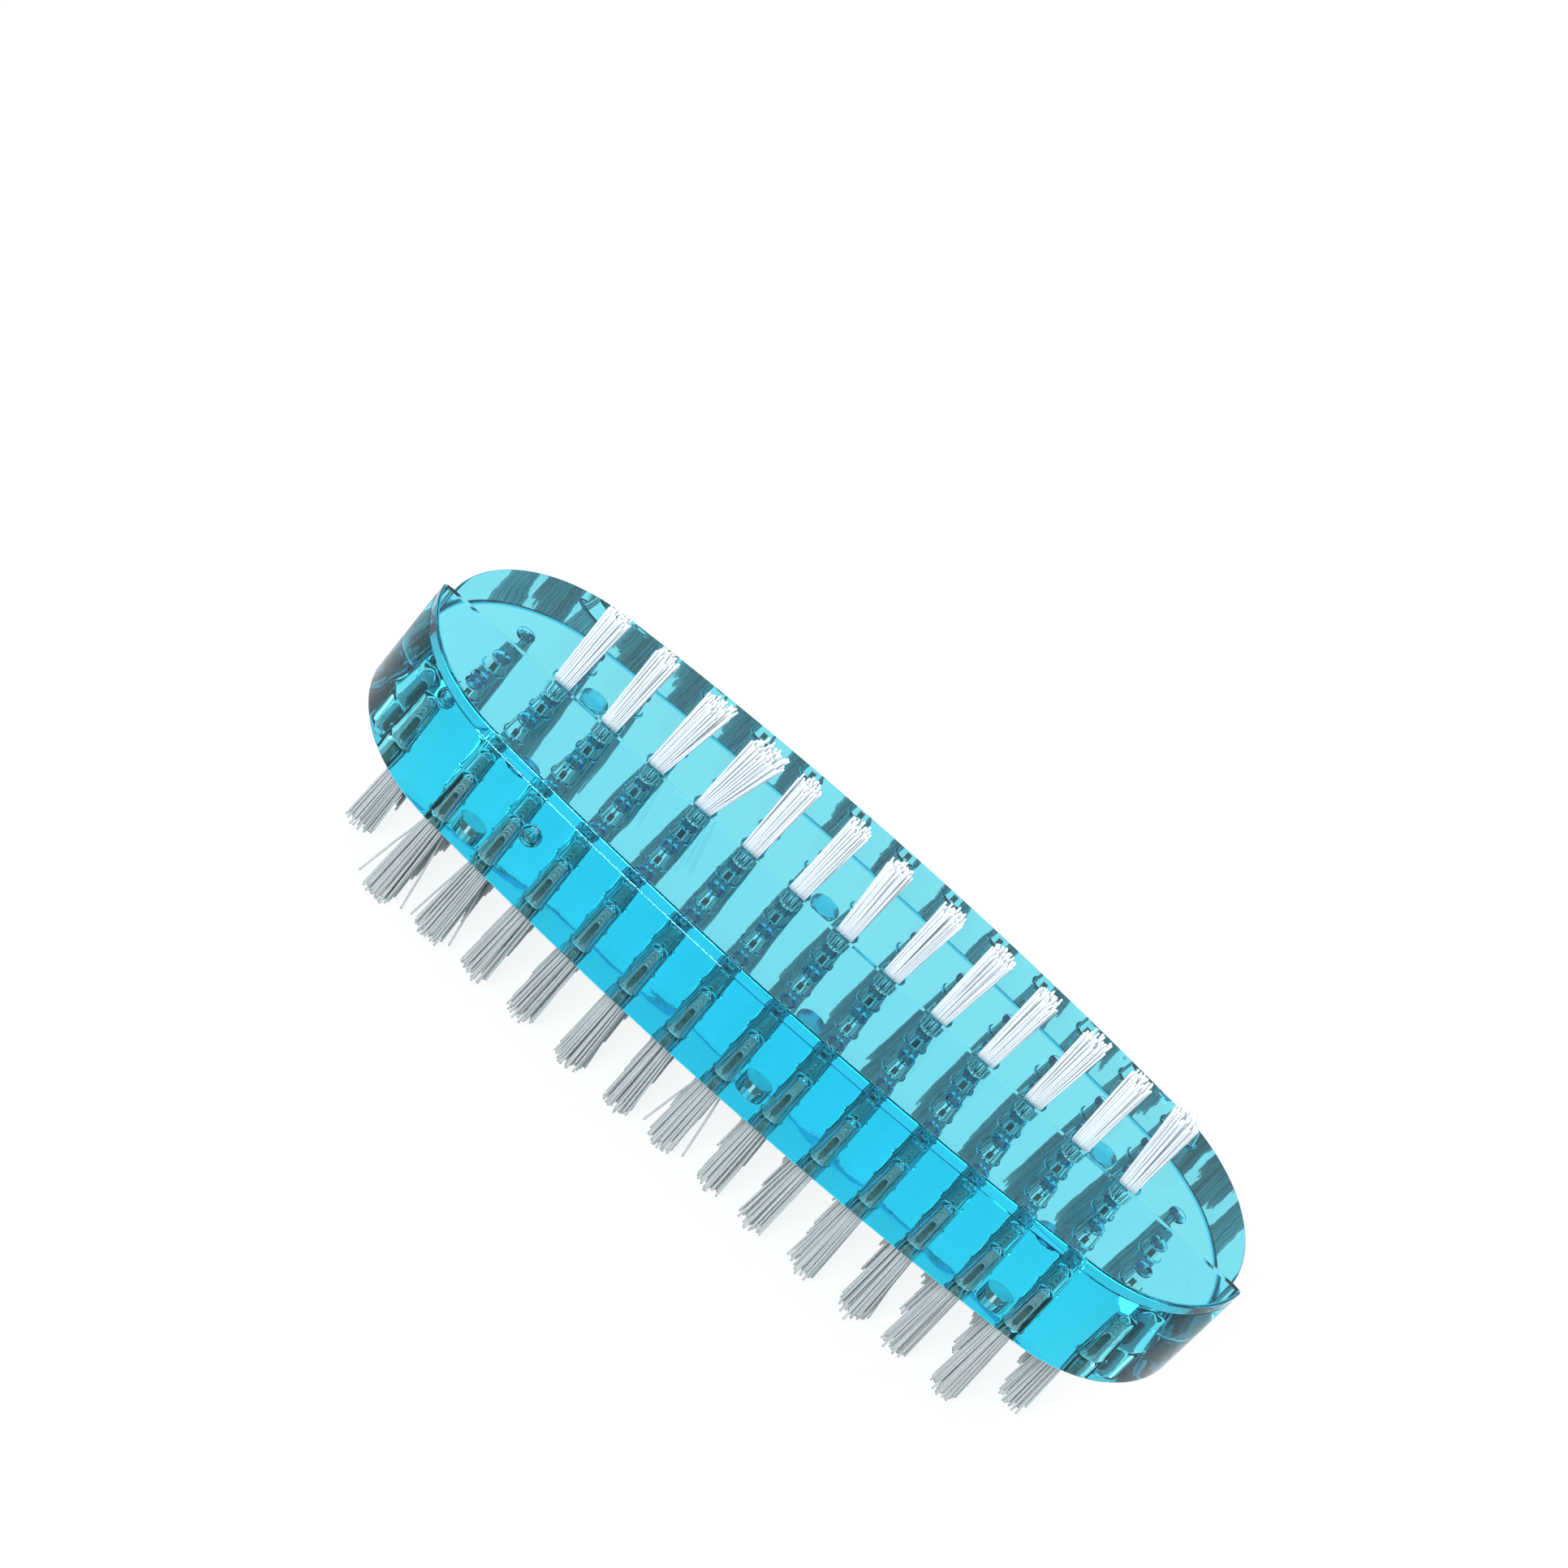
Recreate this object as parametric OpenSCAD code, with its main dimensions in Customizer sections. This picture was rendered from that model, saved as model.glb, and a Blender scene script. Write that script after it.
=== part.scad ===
// Two-sided nail brush: a clear moulded block with a row of tufts on top
// and five rows below. Millimetres, +Z up, +X along the block, the viewer's
// side is -Y. The origin is under the middle of the block, on the plane
// that the lower bristles stand on.

/* [Block] */
// Length of the oval that the raised front half is cut from
block_len = 90.6; // [84:0.2:96]
// Width of the block
block_wid = 31; // [30:0.5:34]
// Thickness of the raised front half
block_hgt = 11.6; // [11:0.1:14]
// How far each long side bows out past the width of the rounded ends
side_bow = 2.5; // [1:0.1:4]
// How far the rear half of the top lies below the front half
step_hgt = 1; // [0.4:0.1:1.6]
// How much the rear half falls short of the front half at each tip
step_inset = 1; // [0.4:0.1:1.5]
// Distance from the middle line to the edge of the step, in front of the tufts
step_off = 2.1; // [1.8:0.1:3]

/* [Tuft rows] */
// Distance from each tip of the block to the middle of the end tufts of the underside
end_rim = 7.78; // [7.4:0.01:8.2]
// Distance from each side of the block to the middle of the outer lower row
side_rim = 5.5; // [5:0.1:6]
// Depth of the holes in the underside, apart from the middle row
low_hole_depth = 4.8; // [4:0.1:5.5]
// Depth of the holes of the middle row, which lie under the holes of the top
mid_hole_depth = 3.5; // [3.2:0.1:4]
// Plastic left between those and the holes of the top
hole_wall = 1.5; // [1:0.1:2]
// Radius of every tuft hole
hole_r = 1.05; // [1:0.01:1.15]
// Radius of a hole from its wire inwards
end_hole_r = 0.8; // [0.7:0.05:0.9]
// Depth of the wires in the holes of the top
top_seat = 2.4; // [1.5:0.1:3]
// Depth of the wires in the holes of the underside
low_seat = 0.5; // [0.4:0.1:0.8]

/* [Bristles] */
// Length of the bristles above the rear half of the top
top_len = 9.8; // [6:0.1:14]
// Length of the bristles below the block
low_len = 12.4; // [8:0.1:18]
// Radius of the bundle of strands in one tuft, at its root
bundle_r = 0.87; // [0.8:0.01:0.88]
// Outer radius of one strand of a top tuft
top_strand_r = 0.26; // [0.1:0.01:0.26]
// Outer radius of one strand of a lower tuft
low_strand_r = 0.28; // [0.1:0.01:0.28]
// Difference in length between the longest and the shortest strands
tip_spread = 1.1; // [0.2:0.1:2]
// Depth by which the lowest tips are cut flat
tip_cut = 0.5; // [0.1:0.1:0.8]
// Clearance all round between a tuft's root and its hole
root_gap = 0.08; // [0.02:0.01:0.1]

/* [Anchors] */
// Thickness of the flat wire that pins each tuft
anchor_thk = 0.5; // [0.3:0.05:0.6]
// Height of the flat wire, along the hole
anchor_hgt = 2.1; // [1.4:0.1:2.2]
// How far each end of the wire bites into the wall of the hole
anchor_bite = 0.2; // [0.1:0.05:0.3]
// Clearance between the wire and its slot
anchor_gap = 0.02; // [0.01:0.01:0.05]

/* [Ejector marks] */
// Radius of the round recesses left by the ejector pins
pin_r = 1.4; // [0.8:0.05:1.5]
// Depth of those recesses
pin_depth = 0.8; // [0.4:0.1:2]
// How far the recesses lie inside the outer lower rows
pin_inset = 2.65; // [2.5:0.05:2.8]
// How far both rows of recesses are shifted towards the front
pin_shift = 0.7; // [0.5:0.1:0.8]

/* [Hidden] */
// Numbers of tufts: the top row, and the columns of the underside
top_count = 13;
column_count = 15;
// The outer lower rows leave out this many columns at each end
outer_skip = 1;
// Strands in one tuft, of which one stands in the middle
top_strands = 7;
low_strands = 5;
// Columns, counted from the middle one, between which the ejector marks lie
pin_columns = [-5.5, 0.5, 5.5];

// Greatest reach of a leaning tuft's tips to one side, as a share of the gap between tufts
lean_share = 0.46;
// Lean of each top tuft towards +X, as a share of the greatest
top_lean_shares = [0.13, 0, 0.4, 1, 0, 0.12, -0.06, 0.13, 0.1, 0.08, 0, -0.05, -0.35];
// Lean of each column of lower tufts towards +X, as a share of the greatest
low_lean_shares = [-0.1, 0.1, 0.15, 0, -0.1, 0.1, 0.15, 0, 0.05, -0.1, 0.1, 0.15, -0.05, 0, 0.05];
// Greatest outward reach of the tips of the outer strands, as a share of the same gap
open_share = 0.3;
// How far each top tuft opens, as a share of the greatest
top_open_shares = [0.25, 0.25, 0.5, 1, 0.2, 0.25, 0.35, 0.3, 0.35, 0.3, 0.35, 0.25, 0.5];
// How far the lower tufts open, as a share of the greatest
low_open_share = 0.45;

// Smoothness of the large side arcs, the end arcs and the ejector recesses
side_fn = 720;
end_fn = 144;
pin_fn = 24;
// Sides of a tuft hole, few because there are so many holes
hole_sides = 8;
// Sides of the root plugs and of the strands
root_sides = 8;
top_strand_sides = 4;
low_strand_sides = 3;
// Overrun of every cut past the face that it opens, and overlap of the block's two halves
over = 1;

function two_digits(n) = n < 10 ? str("0", n) : str(n);
TOP_TUFTS = [for (i = [1:top_count]) str("top_tuft_", two_digits(i))];
LOW_TUFTS = [for (i = [1:column_count]) str("lower_tufts_", two_digits(i))];
ANCHOR_ROWS = ["anchors_front_outer", "anchors_front_inner", "anchors_middle", "anchors_rear_inner",
    "anchors_rear_outer"];

block_z = low_len;
front_top = block_z + block_hgt;
rear_top = front_top - step_hgt;
end_r = block_wid / 2 - side_bow;
top_hole_depth = block_hgt - step_hgt - hole_wall - mid_hole_depth;

last_row = len(ANCHOR_ROWS) - 1;
pitch_x = (block_len - 2 * end_rim) / (column_count - 1);
pitch_y = (block_wid - 2 * side_rim) / last_row;
pin_off = block_wid / 2 - side_rim - pin_inset;

// Gap between the roots of neighbouring tufts, and the slopes that keep their tips apart
tuft_gap = pitch_x - 2 * bundle_r;
top_lean = lean_share * tuft_gap / top_len;
low_lean = lean_share * tuft_gap / low_len;
top_open = open_share * tuft_gap / top_len;
low_open = low_open_share * open_share * tuft_gap / low_len;

// Place of a tuft along the block, for item i of n
function tuft_x(i, n) = (i - (n - 1) / 2) * pitch_x;

// Places of the lower rows across the block, front to rear
row_y = [for (k = [0:last_row]) (k - last_row / 2) * pitch_y];

// Columns that a lower row leaves out at each end, which only the outer rows do
function row_skip(k) = (k == 0 || k == last_row) ? outer_skip : 0;

// Depth of the holes of a lower row
function row_depth(k) = k == last_row / 2 ? mid_hole_depth : low_hole_depth;

// A fixed scatter from 0 to 1, so that neighbouring strands differ in length
function scatter_share(k) = ((k * 37) % 11) / 10;

// Block with four tangent arcs for its outline: two large side arcs, two end arcs
module oval_block(len, wid, hgt) {
    end_x = len / 2 - end_r;
    half = wid / 2;
    side_r = (end_x * end_x + half * half - end_r * end_r) / (2 * (half - end_r));
    join_angle = atan2(side_r - half, end_x);
    join_x = end_x + end_r * cos(join_angle);
    intersection() {
        translate([0, half - side_r, 0]) cylinder(r = side_r, h = hgt, $fn = side_fn);
        translate([0, side_r - half, 0]) cylinder(r = side_r, h = hgt, $fn = side_fn);
        translate([-join_x, -half, 0]) cube([2 * join_x, wid, hgt]);
    }
    for (side = [0, 1])
        mirror([side, 0, 0])
            intersection() {
                translate([end_x, 0, 0]) cylinder(r = end_r, h = hgt, $fn = end_fn);
                translate([join_x, -half, 0]) cube([len / 2 - join_x + over, wid, hgt]);
            }
}

// Blind tuft hole with its mouth at the origin, going down, with the slot that its anchor cuts.
// It narrows at its seat, where the wire lies; the folded filaments are beyond the wire.
module tuft_hole(depth, seat) {
    translate([0, 0, -seat])
        cylinder(r = hole_r, h = seat + over, $fn = hole_sides);
    translate([0, 0, -depth])
        cylinder(r = end_hole_r, h = depth, $fn = hole_sides);
    translate([0, 0, -seat - anchor_hgt])
        anchor_wire(anchor_gap);
}

// Flat wire across the narrower part of a hole, standing on the origin, grown by a clearance
module anchor_wire(gap) {
    half_len = end_hole_r + anchor_bite + gap;
    translate([-anchor_thk / 2 - gap, -half_len, -gap])
        cube([anchor_thk + 2 * gap, 2 * half_len, anchor_hgt + gap]);
}

// One strand that leaves the origin along a slope, up to a given height
module strand(slope, hgt, r, sides) {
    reach = norm([slope[0], slope[1], 1]);
    rotate([0, acos(1 / reach), atan2(slope[1], slope[0])])
        cylinder(r = r, h = hgt * reach, $fn = sides);
}

// Tuft with its mouth at the origin, growing up: a root plug that reaches down to the wire,
// with its strands fused on
module tuft(seat, len, count, r, sides, lean, open, seed) {
    ring_r = bundle_r - r;
    translate([0, 0, -seat])
        cylinder(r = hole_r - root_gap, h = seat, $fn = root_sides);
    for (k = [0:count - 1]) {
        // strand 0 stands in the middle, the others in a ring round it
        angle = k * 360 / (count - 1);
        away = k == 0 ? [0, 0] : [cos(angle), sin(angle)];
        translate([ring_r * away[0], ring_r * away[1], -r])
            strand([lean, 0] + open * away, len - scatter_share(k + seed) * tip_spread + r, r, sides);
    }
}

module body() {
    color([0.25, 0.75, 0.88, 0.6])
        difference() {
            translate([0, 0, block_z])
                union() {
                    intersection() {
                        oval_block(block_len, block_wid, block_hgt);
                        translate([-block_len / 2, -block_wid / 2, 0])
                            cube([block_len, block_wid / 2 - step_off, block_hgt]);
                    }
                    intersection() {
                        oval_block(block_len - 2 * step_inset, block_wid, block_hgt - step_hgt);
                        translate([-block_len / 2, -step_off - over, 0])
                            cube([block_len, block_wid / 2 + step_off + over, block_hgt]);
                    }
                }
            for (i = [0:top_count - 1])
                translate([tuft_x(i, top_count), 0, rear_top]) tuft_hole(top_hole_depth, top_seat);
            for (k = [0:last_row], i = [row_skip(k):column_count - 1 - row_skip(k)])
                translate([tuft_x(i, column_count), row_y[k], block_z])
                    mirror([0, 0, 1]) tuft_hole(row_depth(k), low_seat);
            for (c = pin_columns)
                for (side = [-1, 1])
                    translate([-side * c * pitch_x, side * pin_off - pin_shift, block_z - over])
                        cylinder(r = pin_r, h = pin_depth + over, $fn = pin_fn);
        }
}

module anchors_top() {
    color("silver")
        for (i = [0:top_count - 1])
            translate([tuft_x(i, top_count), 0, rear_top - top_seat - anchor_hgt]) anchor_wire(0);
}

// Anchors of lower row k
module anchors_low(k) {
    color("silver")
        for (i = [row_skip(k):column_count - 1 - row_skip(k)])
            translate([tuft_x(i, column_count), row_y[k], block_z + low_seat]) anchor_wire(0);
}

// Tuft i of the top row
module top_tuft(i) {
    color("white")
        translate([tuft_x(i, top_count), 0, rear_top])
            tuft(top_seat, top_len, top_strands, top_strand_r, top_strand_sides,
                top_lean_shares[i] * top_lean, top_open_shares[i] * top_open, i);
}

// Column i of the underside, three or five tufts, with its lowest tips cut flat
module lower_tufts(i) {
    column = block_wid + 2 * over;
    color("gainsboro")
        intersection() {
            for (k = [0:last_row])
                if (i >= row_skip(k) && i <= column_count - 1 - row_skip(k))
                    translate([tuft_x(i, column_count), row_y[k], block_z])
                        mirror([0, 0, 1])
                            tuft(low_seat, low_len + tip_cut, low_strands, low_strand_r,
                                low_strand_sides, low_lean_shares[i] * low_lean, low_open, i + k);
            translate([tuft_x(i, column_count) - column / 2, -column / 2, 0])
                cube([column, column, front_top]);
        }
}

body();
anchors_top();
for (k = [0:last_row])
    anchors_low(k);
for (i = [0:top_count - 1])
    top_tuft(i);
for (i = [0:column_count - 1])
    lower_tufts(i);
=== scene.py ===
# %% [markdown]
# # A two-sided nail brush in clear plastic
# The real brush is one clear moulded block, tinted cyan, with tufts of white nylon
# stuck into blind holes: one row on top and five rows below. The block could be a
# plain glassy lump, but then the holes, wires and folded filaments that give the real
# one its character would be missing. So this scene models the plastic as a true solid
# with every hole in it, and lets the renderer bend the light.
#
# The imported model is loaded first, because its sizes and places rule every new piece.

# %% Load the frame
import math
from collections import namedtuple

import bmesh
import bpy
import numpy as np
from mathutils import Matrix, Vector
from mathutils.geometry import delaunay_2d_cdt


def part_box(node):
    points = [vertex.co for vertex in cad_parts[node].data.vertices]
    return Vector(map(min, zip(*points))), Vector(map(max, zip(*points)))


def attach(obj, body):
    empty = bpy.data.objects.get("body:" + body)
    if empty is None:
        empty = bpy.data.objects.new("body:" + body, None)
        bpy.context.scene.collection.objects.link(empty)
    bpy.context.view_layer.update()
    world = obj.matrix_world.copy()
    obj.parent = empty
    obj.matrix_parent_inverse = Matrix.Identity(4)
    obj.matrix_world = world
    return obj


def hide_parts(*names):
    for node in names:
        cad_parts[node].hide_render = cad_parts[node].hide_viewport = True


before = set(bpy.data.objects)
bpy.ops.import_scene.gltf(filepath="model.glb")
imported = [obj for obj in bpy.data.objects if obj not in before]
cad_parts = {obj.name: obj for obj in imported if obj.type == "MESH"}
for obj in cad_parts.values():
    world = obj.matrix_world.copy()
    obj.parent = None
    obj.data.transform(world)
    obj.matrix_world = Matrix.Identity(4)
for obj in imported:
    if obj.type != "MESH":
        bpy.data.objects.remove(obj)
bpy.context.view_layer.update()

MM = 0.001

# %% [markdown]
# ## Sizes that the frame gives
# The block's box gives its height, width and length. The anchors are rows of equal
# wires one pitch apart, so the difference in length of a row of 15 and a row of 13 is
# two pitches. Each row of anchors also says how deep its wires lie. No box tells the
# step in the top, the bow of the sides or the depths of the holes, so they are named.

# %% Sizes of the block
STEP = 1.0 * MM
STEP_Y = -2.1 * MM
SIDE_BOW = 1.8 * MM

block_low, block_high = (np.array(corner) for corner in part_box("body"))
BLOCK_Z = block_low[2]
FRONT_TOP = block_high[2]
REAR_TOP = FRONT_TOP - STEP
HALF_WIDTH = block_high[1]
END_R = HALF_WIDTH - SIDE_BOW
FRONT_END_X = block_high[0] - math.sqrt(END_R ** 2 - STEP_Y ** 2)
REAR_END_X = FRONT_END_X - STEP
print("radius of the ends in mm:", round(END_R / MM, 2))

# %% Rows of anchors
TOP_COUNT = 13
COLUMN_COUNT = 15
ROW_NODES = ["anchors_front_outer", "anchors_front_inner", "anchors_middle",
             "anchors_rear_inner", "anchors_rear_outer"]
TOP_NODE = "anchors_top"

AnchorRow = namedtuple("AnchorRow", "length y low high")


def anchor_row(node):
    """Length along X, middle across Y, and lowest and highest Z of a row of anchors."""
    low, high = (np.array(corner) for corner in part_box(node))
    return AnchorRow(high[0] - low[0], (low[1] + high[1]) / 2, low[2], high[2])


LOW_ROWS = [anchor_row(node) for node in ROW_NODES]
TOP_ROW = anchor_row(TOP_NODE)
MIDDLE_ROW = len(LOW_ROWS) // 2
PITCH = (LOW_ROWS[MIDDLE_ROW].length - TOP_ROW.length) / (COLUMN_COUNT - TOP_COUNT)
print("pitch in mm:", round(PITCH / MM, 3), "rows at", [round(row.y / MM, 2) for row in LOW_ROWS])

# %% Places and depths of the holes
TOP_DEPTH = 5.6 * MM
LOW_DEPTH = 4.8 * MM
MIDDLE_DEPTH = 3.5 * MM


def tuft_x(index, count):
    """Place of a tuft along the block, counted from its -X end."""
    return (index - (count - 1) / 2) * PITCH


def row_columns(row):
    """Columns of a lower row. The outer rows leave out one at each end."""
    skip = 1 if row in (0, len(LOW_ROWS) - 1) else 0
    return range(skip, COLUMN_COUNT - skip)


def row_depth(row):
    """Depth of the holes of a lower row. The middle row lies under the holes of the top."""
    return MIDDLE_DEPTH if row == MIDDLE_ROW else LOW_DEPTH


print("lower tufts:", sum(len(row_columns(row)) for row in range(len(LOW_ROWS))))

# %% [markdown]
# ## Camera
# The photograph looks down on the brush at 34 degrees from straight in front of its
# raised half, with the picture rolled so that the brush runs from upper left to lower
# right. A long lens from 45 cm gives its weak perspective. The camera's axes are
# worked out as vectors, because a roll this large is hard to read in Euler angles.

# %% Camera at the photograph's angle
AZIMUTH = math.radians(-0.31)
ELEVATION = math.radians(34.40)
ROLL = math.radians(41.53)
DISTANCE = 450 * MM
ASIDE, ABOVE = 12.36 * MM, -5.05 * MM
LENS_MM = 121.7
SENSOR_MM = 36
NEAREST_SEEN = 10 * MM


def put_in_scene(name, data):
    """Makes an object from a mesh, camera or lamp and links it into the scene."""
    obj = bpy.data.objects.new(name, data)
    bpy.context.scene.collection.objects.link(obj)
    return obj


forward = np.array([math.sin(AZIMUTH) * math.cos(ELEVATION),
                    math.cos(AZIMUTH) * math.cos(ELEVATION), -math.sin(ELEVATION)])
level = np.array([math.cos(AZIMUTH), -math.sin(AZIMUTH), 0])
upward = np.cross(level, forward)
place = np.array([0, 0, FRONT_TOP]) - DISTANCE * forward - ASIDE * level - ABOVE * upward

camera_data = bpy.data.cameras.new("camera")
camera_data.lens = LENS_MM
camera_data.sensor_width = SENSOR_MM
camera_data.clip_start = NEAREST_SEEN
camera = put_in_scene("camera", camera_data)
axes = np.eye(4)
axes[:3, 0] = math.cos(ROLL) * level + math.sin(ROLL) * upward
axes[:3, 1] = -math.sin(ROLL) * level + math.cos(ROLL) * upward
axes[:3, 2] = -forward
axes[:3, 3] = place
camera.matrix_world = Matrix(axes.tolist())
bpy.context.scene.camera = camera
print("camera at, in mm:", np.round(place / MM, 1))

# %% [markdown]
# ## Helpers for surfaces
# Every new surface is a grid of points: rings that follow each other, with the same
# number of points in each. One function turns a grid into faces. A shell collects such
# patches and puts them into one mesh, and another function welds their shared edges.

# %% Grids, shells and meshes
def grid_faces(rings, points):
    """Quads of a grid of closed rings: each joins a point and the next one on two rings."""
    ring = np.arange(rings - 1)[:, None]
    point = np.arange(points)[None, :]
    after = (point + 1) % points
    corners = [ring * points + point, ring * points + after,
               (ring + 1) * points + after, (ring + 1) * points + point]
    return np.stack(np.broadcast_arrays(*corners), axis=-1).reshape(-1, 4)


class Shell:
    """Patches of one solid, each with its faces, their smoothness and their material."""

    def __init__(self):
        self.points, self.faces, self.smooth, self.material = [], [], [], []
        self.size = 0

    def cover(self, faces, smooth=True, material=0):
        """Adds faces that count from the shell's first point. smooth may be a list, one a face."""
        self.faces += faces.tolist()
        self.smooth += np.broadcast_to(smooth, len(faces)).tolist()
        self.material += [material] * len(faces)

    def add(self, points, faces, smooth=True, material=0):
        """Adds a patch: points, and faces that count from the patch's own first point."""
        points = np.asarray(points, dtype=float).reshape(-1, 3)
        self.cover(faces + self.size, smooth, material)
        self.points.append(points)
        self.size += len(points)

    def mesh(self, name, materials):
        """A mesh of all patches with these materials."""
        mesh = bpy.data.meshes.new(name)
        mesh.from_pydata(np.concatenate(self.points), [], self.faces)
        mesh.polygons.foreach_set("use_smooth", self.smooth)
        for material in materials:
            mesh.materials.append(material)
        mesh.polygons.foreach_set("material_index", self.material)
        mesh.update()
        return mesh


def weld(mesh, distance):
    """Joins points closer than the distance, and prints whether the mesh is closed."""
    work = bmesh.new()
    work.from_mesh(mesh)
    bmesh.ops.remove_doubles(work, verts=work.verts, dist=distance)
    loose = sum(not edge.is_manifold for edge in work.edges)
    volume = round(work.calc_volume() / MM ** 3, 1)
    print(mesh.name, "edges that are not closed:", loose, "volume in mm3:", volume)
    work.to_mesh(mesh)
    work.free()
    mesh.update()


def make_piece(mesh, replaced):
    """Makes the piece, hides the CAD node that it takes the place of, and hangs it on the root body."""
    piece = put_in_scene(mesh.name, mesh)
    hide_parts(replaced)
    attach(piece, "root")
    print(piece.name, "faces:", len(mesh.polygons))


# %% [markdown]
# ## Helpers for materials
# Each finish here is a small net of nodes: noise that is fixed to the piece, spread
# over a range of roughness or colour, or used as the height of a bump.

# %% Nodes that several finishes share
NOISE_LOW, NOISE_HIGH = 0.3, 0.7


def node_material(name):
    """An empty node material, its node tree and its output node."""
    material = bpy.data.materials.new(name)
    material.use_nodes = True
    tree = material.node_tree
    tree.nodes.clear()
    return material, tree, tree.nodes.new("ShaderNodeOutputMaterial")


def object_noise(tree, scale, detail, stretch=(1, 1, 1)):
    """Noise that stays fixed to the piece. Scale counts waves in a metre."""
    coordinates = tree.nodes.new("ShaderNodeTexCoord")
    mapping = tree.nodes.new("ShaderNodeMapping")
    mapping.inputs["Scale"].default_value = stretch
    noise = tree.nodes.new("ShaderNodeTexNoise")
    noise.inputs["Scale"].default_value = scale
    noise.inputs["Detail"].default_value = detail
    tree.links.new(coordinates.outputs["Object"], mapping.inputs["Vector"])
    tree.links.new(mapping.outputs["Vector"], noise.inputs["Vector"])
    return noise.outputs["Fac"]


def spread(tree, value, low, high):
    """Maps the range in which noise mostly lies to low and high."""
    node = tree.nodes.new("ShaderNodeMapRange")
    node.inputs["From Min"].default_value = NOISE_LOW
    node.inputs["From Max"].default_value = NOISE_HIGH
    node.inputs["To Min"].default_value = low
    node.inputs["To Max"].default_value = high
    tree.links.new(value, node.inputs["Value"])
    return node.outputs["Result"]


def bump(tree, height, distance, below=None):
    """A bump of that distance in metres, laid over another one if given."""
    node = tree.nodes.new("ShaderNodeBump")
    node.inputs["Strength"].default_value = 1.0
    node.inputs["Distance"].default_value = distance
    tree.links.new(height, node.inputs["Height"])
    if below is not None:
        tree.links.new(below, node.inputs["Normal"])
    return node.outputs["Normal"]


def shades(tree, noise, dark, light):
    """Colours from dark to light, as the noise goes from low to high."""
    node = tree.nodes.new("ShaderNodeMix")
    node.data_type = "RGBA"
    node.inputs["A"].default_value = (*dark, 1)
    node.inputs["B"].default_value = (*light, 1)
    tree.links.new(spread(tree, noise, 0, 1), node.inputs["Factor"])
    return node.outputs["Result"]


def mix_shaders(tree, first, second):
    """The node that mixes two shaders. Its Fac, the share of the second, is still to be set."""
    node = tree.nodes.new("ShaderNodeMixShader")
    tree.links.new(first, node.inputs[1])
    tree.links.new(second, node.inputs[2])
    return node


# %% [markdown]
# ## Clear plastic
# Tinted clear plastic takes its colour from depth: red light is lost on the way
# through, so a short path looks pale aqua and a long one a strong cyan. A base colour
# would tint the surface instead and look like painted glass. So the base colour is
# white, and a volume inside absorbs. Only the mirrored light is tinted at the surface,
# because the walls of the holes mirror cyan in the photograph. The moulded skin is not
# quite flat: a broad, very shallow bump makes what is seen through it waver, and a
# fine one breaks up the highlights. The floors of the ejector recesses are rough from
# the making of the mould.

# %% Plastic materials
PLASTIC_IOR = 1.59
TINT = (0.015, 0.881, 0.972)
TINT_DENSITY = 130.0
GLINT_TINT = (0.25, 0.8, 0.95)

# A noise is its waves in a metre and its number of finer layers.
SKIN_WAVES = (160, 1)
SKIN_WAVE_HEIGHT = 0.035 * MM
SKIN_WEAR = (900, 4)


def plastic(name, rough, grain, grain_height):
    """Clear tinted plastic with a wavy skin, a grain and a roughness that varies."""
    material, tree, output = node_material(name)
    skin = tree.nodes.new("ShaderNodeBsdfPrincipled")
    skin.inputs["Base Color"].default_value = (1, 1, 1, 1)
    skin.inputs["Transmission Weight"].default_value = 1.0
    skin.inputs["IOR"].default_value = PLASTIC_IOR
    skin.inputs["Specular Tint"].default_value = (*GLINT_TINT, 1)
    waves = bump(tree, object_noise(tree, *SKIN_WAVES), SKIN_WAVE_HEIGHT)
    fine = bump(tree, object_noise(tree, *grain), grain_height, below=waves)
    wear = spread(tree, object_noise(tree, *SKIN_WEAR), *rough)
    tree.links.new(fine, skin.inputs["Normal"])
    tree.links.new(wear, skin.inputs["Roughness"])
    tint = tree.nodes.new("ShaderNodeVolumeAbsorption")
    tint.inputs["Color"].default_value = (*TINT, 1)
    tint.inputs["Density"].default_value = TINT_DENSITY
    tree.links.new(skin.outputs["BSDF"], output.inputs["Surface"])
    tree.links.new(tint.outputs["Volume"], output.inputs["Volume"])
    print("plastic:", name, "roughness", rough)
    return material


clear_plastic = plastic("clear_plastic", rough=(0.0, 0.03), grain=(1500, 3), grain_height=0.001 * MM)
frosted_plastic = plastic("frosted_plastic", rough=(0.25, 0.4), grain=(3500, 3), grain_height=0.008 * MM)

# %% [markdown]
# ## Outline of the block
# Seen from above the block is an oval of four tangent arcs. The front half is cut from
# an oval 2 mm longer than the rear half, and its two corners are rounded. An outline
# is kept as points with the direction away from the plastic at each, so that moving a
# point against that direction insets it, which is all that a rounded edge needs.

# %% Outlines as points and directions
CORNER_R = 0.35 * MM
END_STEPS = 40
SIDE_STEPS = 40
CORNER_STEPS = 8


def arc(centre, radius, start, end, steps):
    """Points on a circle, centre plus radius times direction, and those directions."""
    angle = np.linspace(start, end, steps + 1)
    away = np.stack([np.cos(angle), np.sin(angle)], axis=1)
    return np.array(centre) + radius * away, away


def chain(arcs):
    """Joins arcs end to end and drops the point that each shares with the one before."""
    points = [arcs[0][0]] + [points[1:] for points, _ in arcs[1:]]
    aways = [arcs[0][1]] + [away[1:] for _, away in arcs[1:]]
    return np.concatenate(points), np.concatenate(aways)


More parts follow.
